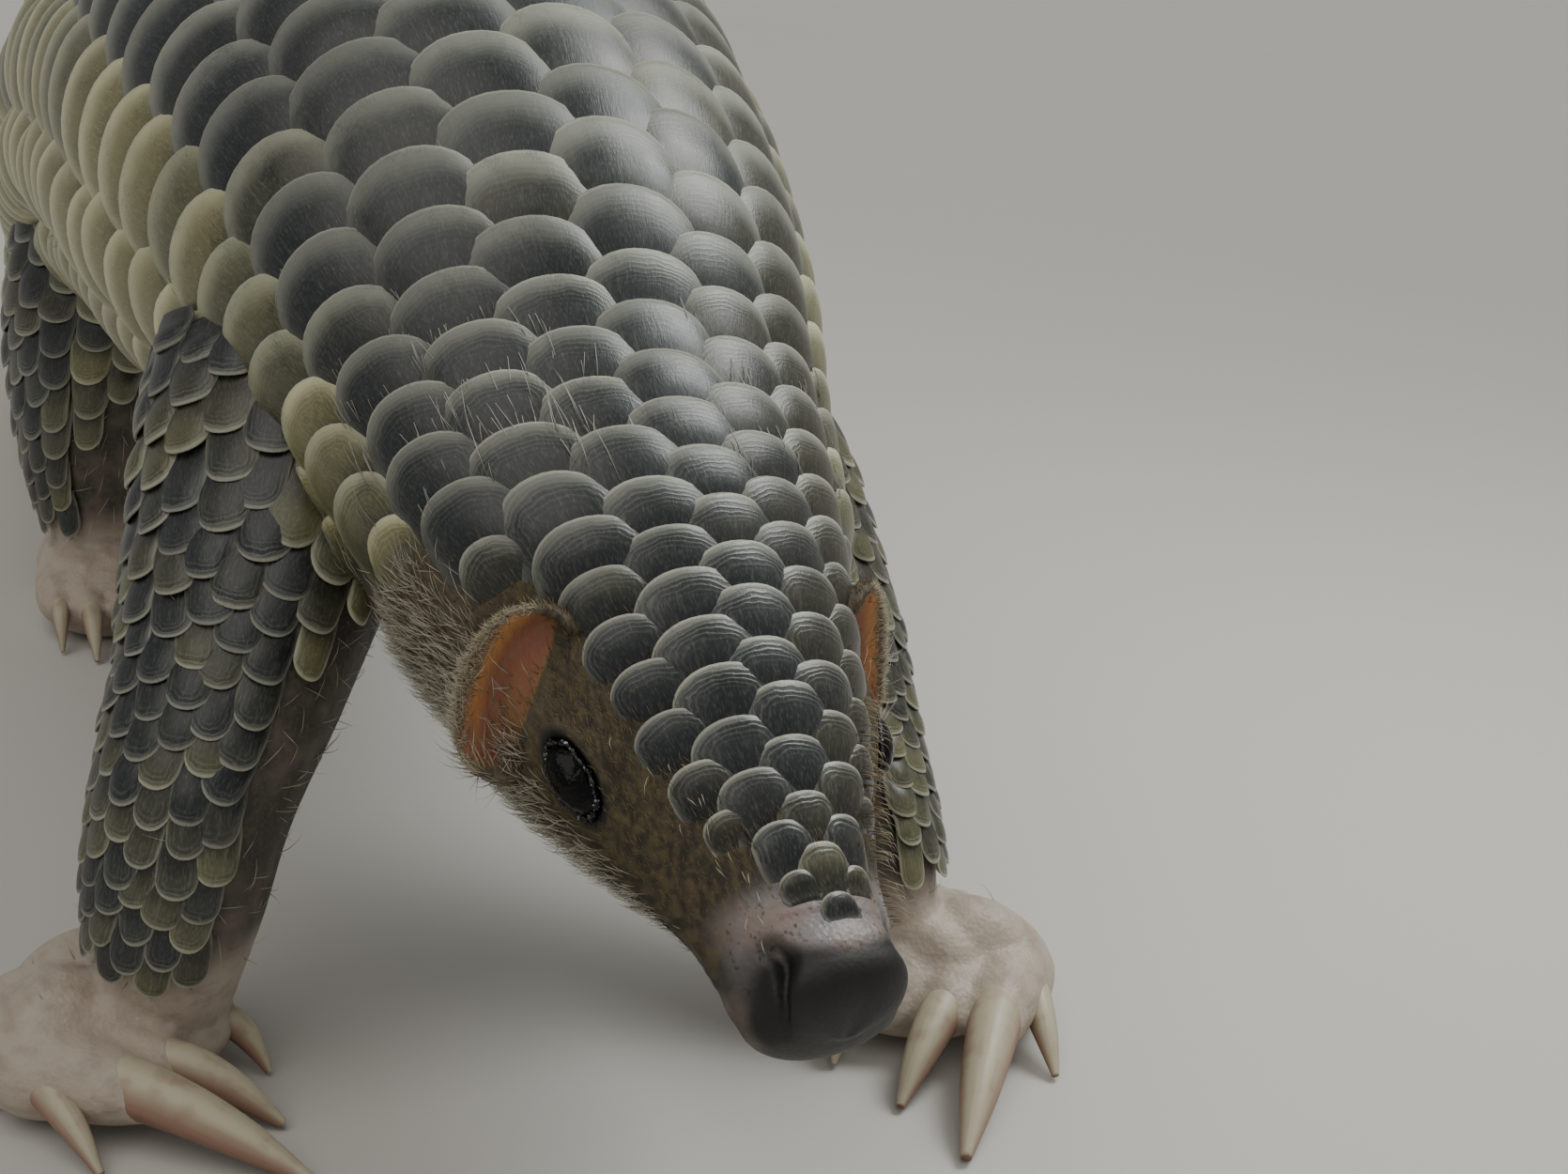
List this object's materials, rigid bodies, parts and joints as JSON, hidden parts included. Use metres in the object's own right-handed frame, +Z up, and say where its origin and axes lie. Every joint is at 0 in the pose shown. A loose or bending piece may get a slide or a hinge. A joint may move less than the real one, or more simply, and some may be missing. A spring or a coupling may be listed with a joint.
{
  "type": "life-size pangolin model",
  "caption": "Still life-size model of an adult Chinese pangolin standing on all fours, head lowered, tail on the ground, with overlapping scales, long foreclaws and cupped ears.",
  "frame": {"origin": "middle of the model's bounding box at floor level, on which the feet and tail rest", "axes": "+Z up, +Y from the nose towards the tail, +X towards the animal's left side"},
  "size_m": [0.2208, 0.7732, 0.2139],
  "materials": {
    "scales": "horn scales, grey-brown with paler rims, satin",
    "nose": "moist dark skin",
    "ear": "bare orange-brown skin with pale fuzz",
    "eye": "glossy black",
    "foot": "bare pinkish-grey skin",
    "claw": "cream horn, satin"
  },
  "bodies": {
    "root": {"ear_left": "ear", "ear_right": "ear", "eye_left": "eye", "eye_right": "eye", "forefoot_left": "foot", "forefoot_left_claw_1": "claw", "forefoot_left_claw_2": "claw", "forefoot_left_claw_3": "claw", "forefoot_left_claw_4": "claw", "forefoot_left_claw_5": "claw", "forefoot_right": "foot", "forefoot_right_claw_1": "claw", "forefoot_right_claw_2": "claw", "forefoot_right_claw_3": "claw", "forefoot_right_claw_4": "claw", "forefoot_right_claw_5": "claw", "foreleg_left": "scales", "foreleg_right": "scales", "head": "scales", "hindfoot_left": "foot", "hindfoot_left_claw_1": "claw", "hindfoot_left_claw_2": "claw", "hindfoot_left_claw_3": "claw", "hindfoot_left_claw_4": "claw", "hindfoot_left_claw_5": "claw", "hindfoot_right": "foot", "hindfoot_right_claw_1": "claw", "hindfoot_right_claw_2": "claw", "hindfoot_right_claw_3": "claw", "hindfoot_right_claw_4": "claw", "hindfoot_right_claw_5": "claw", "hindleg_left": "scales", "hindleg_right": "scales", "neck": "scales", "nose": "nose", "tail_base": "scales", "tail_end": "scales", "tail_middle": "scales", "torso_front": "scales", "torso_middle": "scales", "torso_rear": "scales"}
  },
  "joints": []
}
